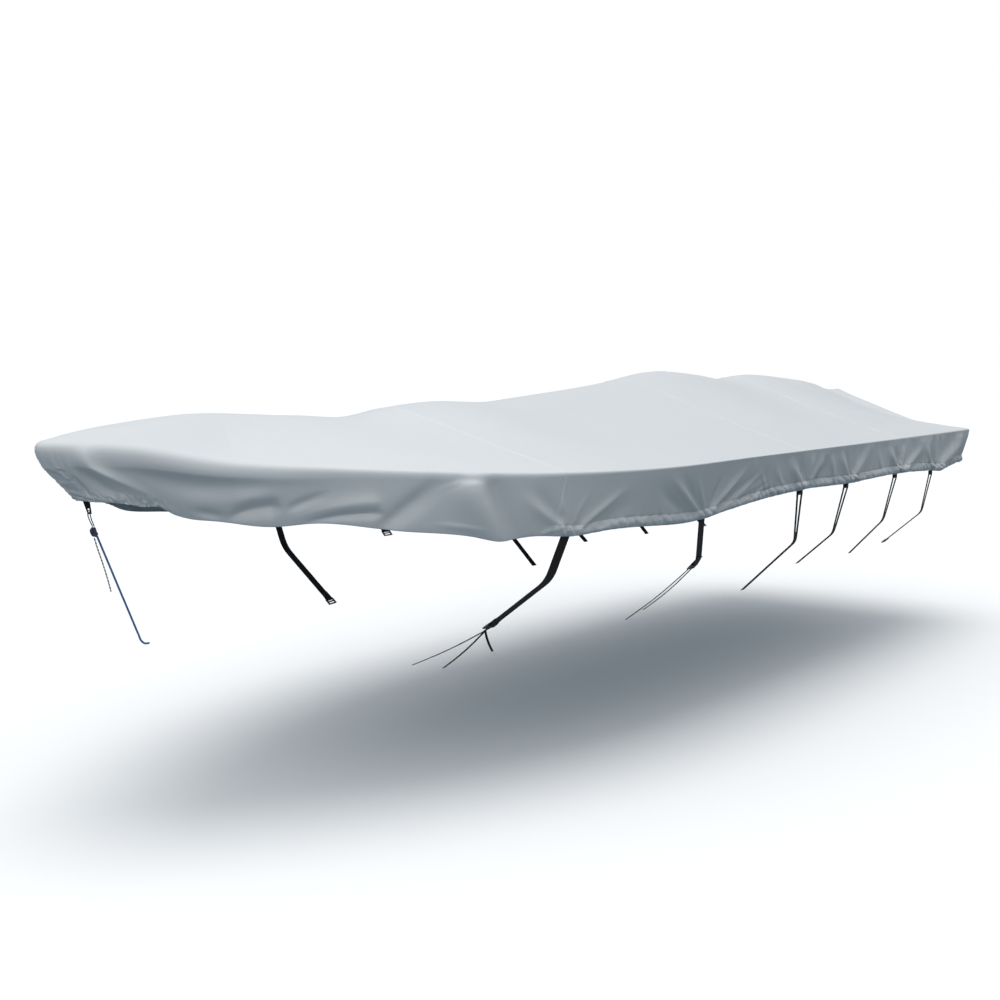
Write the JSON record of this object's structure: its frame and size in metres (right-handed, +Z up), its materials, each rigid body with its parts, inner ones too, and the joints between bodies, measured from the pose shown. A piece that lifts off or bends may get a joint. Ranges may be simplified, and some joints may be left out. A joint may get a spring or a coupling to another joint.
{
  "type": "boat cover",
  "caption": "Fitted grey cloth cover for a small open boat: crowned roof, hanging skirt with a drawstring hem, black webbing tie-down straps and a blue bow rope.",
  "frame": {"origin": "on the centre line, amidships, at the height of the hull's top edge, inside the cover where the hull holds it", "axes": "+X runs aft from the stem to the transom, +Y to starboard, +Z up"},
  "size_m": [4.9095, 1.6403, 1.0002],
  "materials": {
    "cover_cloth": "coated polyester, plain weave, matt with a faint sheen",
    "webbing": "black woven webbing",
    "buckle_plastic": "moulded, black",
    "dark_cord": "braided dark cord",
    "blue_rope": "braided blue polypropylene rope",
    "twisted_cord": "twisted cord of dark and white yarns"
  },
  "bodies": {
    "root": {"panel_bow": "cover_cloth", "panel_mid": "cover_cloth", "panel_aft": "cover_cloth", "panel_stern": "cover_cloth", "strap_port_1": "webbing", "strap_port_2": "webbing", "strap_port_3": "webbing", "strap_port_4": "webbing", "strap_port_5": "webbing", "strap_port_6": "webbing", "hem_loop_port_3": "webbing", "hem_loop_port_4": "webbing", "hem_loop_port_5": "webbing", "hem_loop_port_6": "webbing", "buckle_port_1": "buckle_plastic", "buckle_port_2": "buckle_plastic", "buckle_port_6": "buckle_plastic", "strap_stbd_1": "webbing", "strap_stbd_2": "webbing", "strap_stbd_3": "webbing", "strap_stbd_4": "webbing", "strap_stbd_5": "webbing", "strap_stbd_6": "webbing", "hem_loop_stbd_3": "webbing", "hem_loop_stbd_4": "webbing", "hem_loop_stbd_5": "webbing", "hem_loop_stbd_6": "webbing", "buckle_stbd_1": "buckle_plastic", "buckle_stbd_2": "buckle_plastic", "buckle_stbd_6": "buckle_plastic", "strap_port_1a": "webbing", "strap_port_1b": "webbing", "strap_port_1c": "webbing", "strap_port_2a": "webbing", "strap_port_2b": "webbing", "bow_loop": "webbing", "bow_cord": "dark_cord", "bow_knot": "dark_cord", "bow_rope": "blue_rope", "bow_tail": "twisted_cord"}
  },
  "joints": []
}
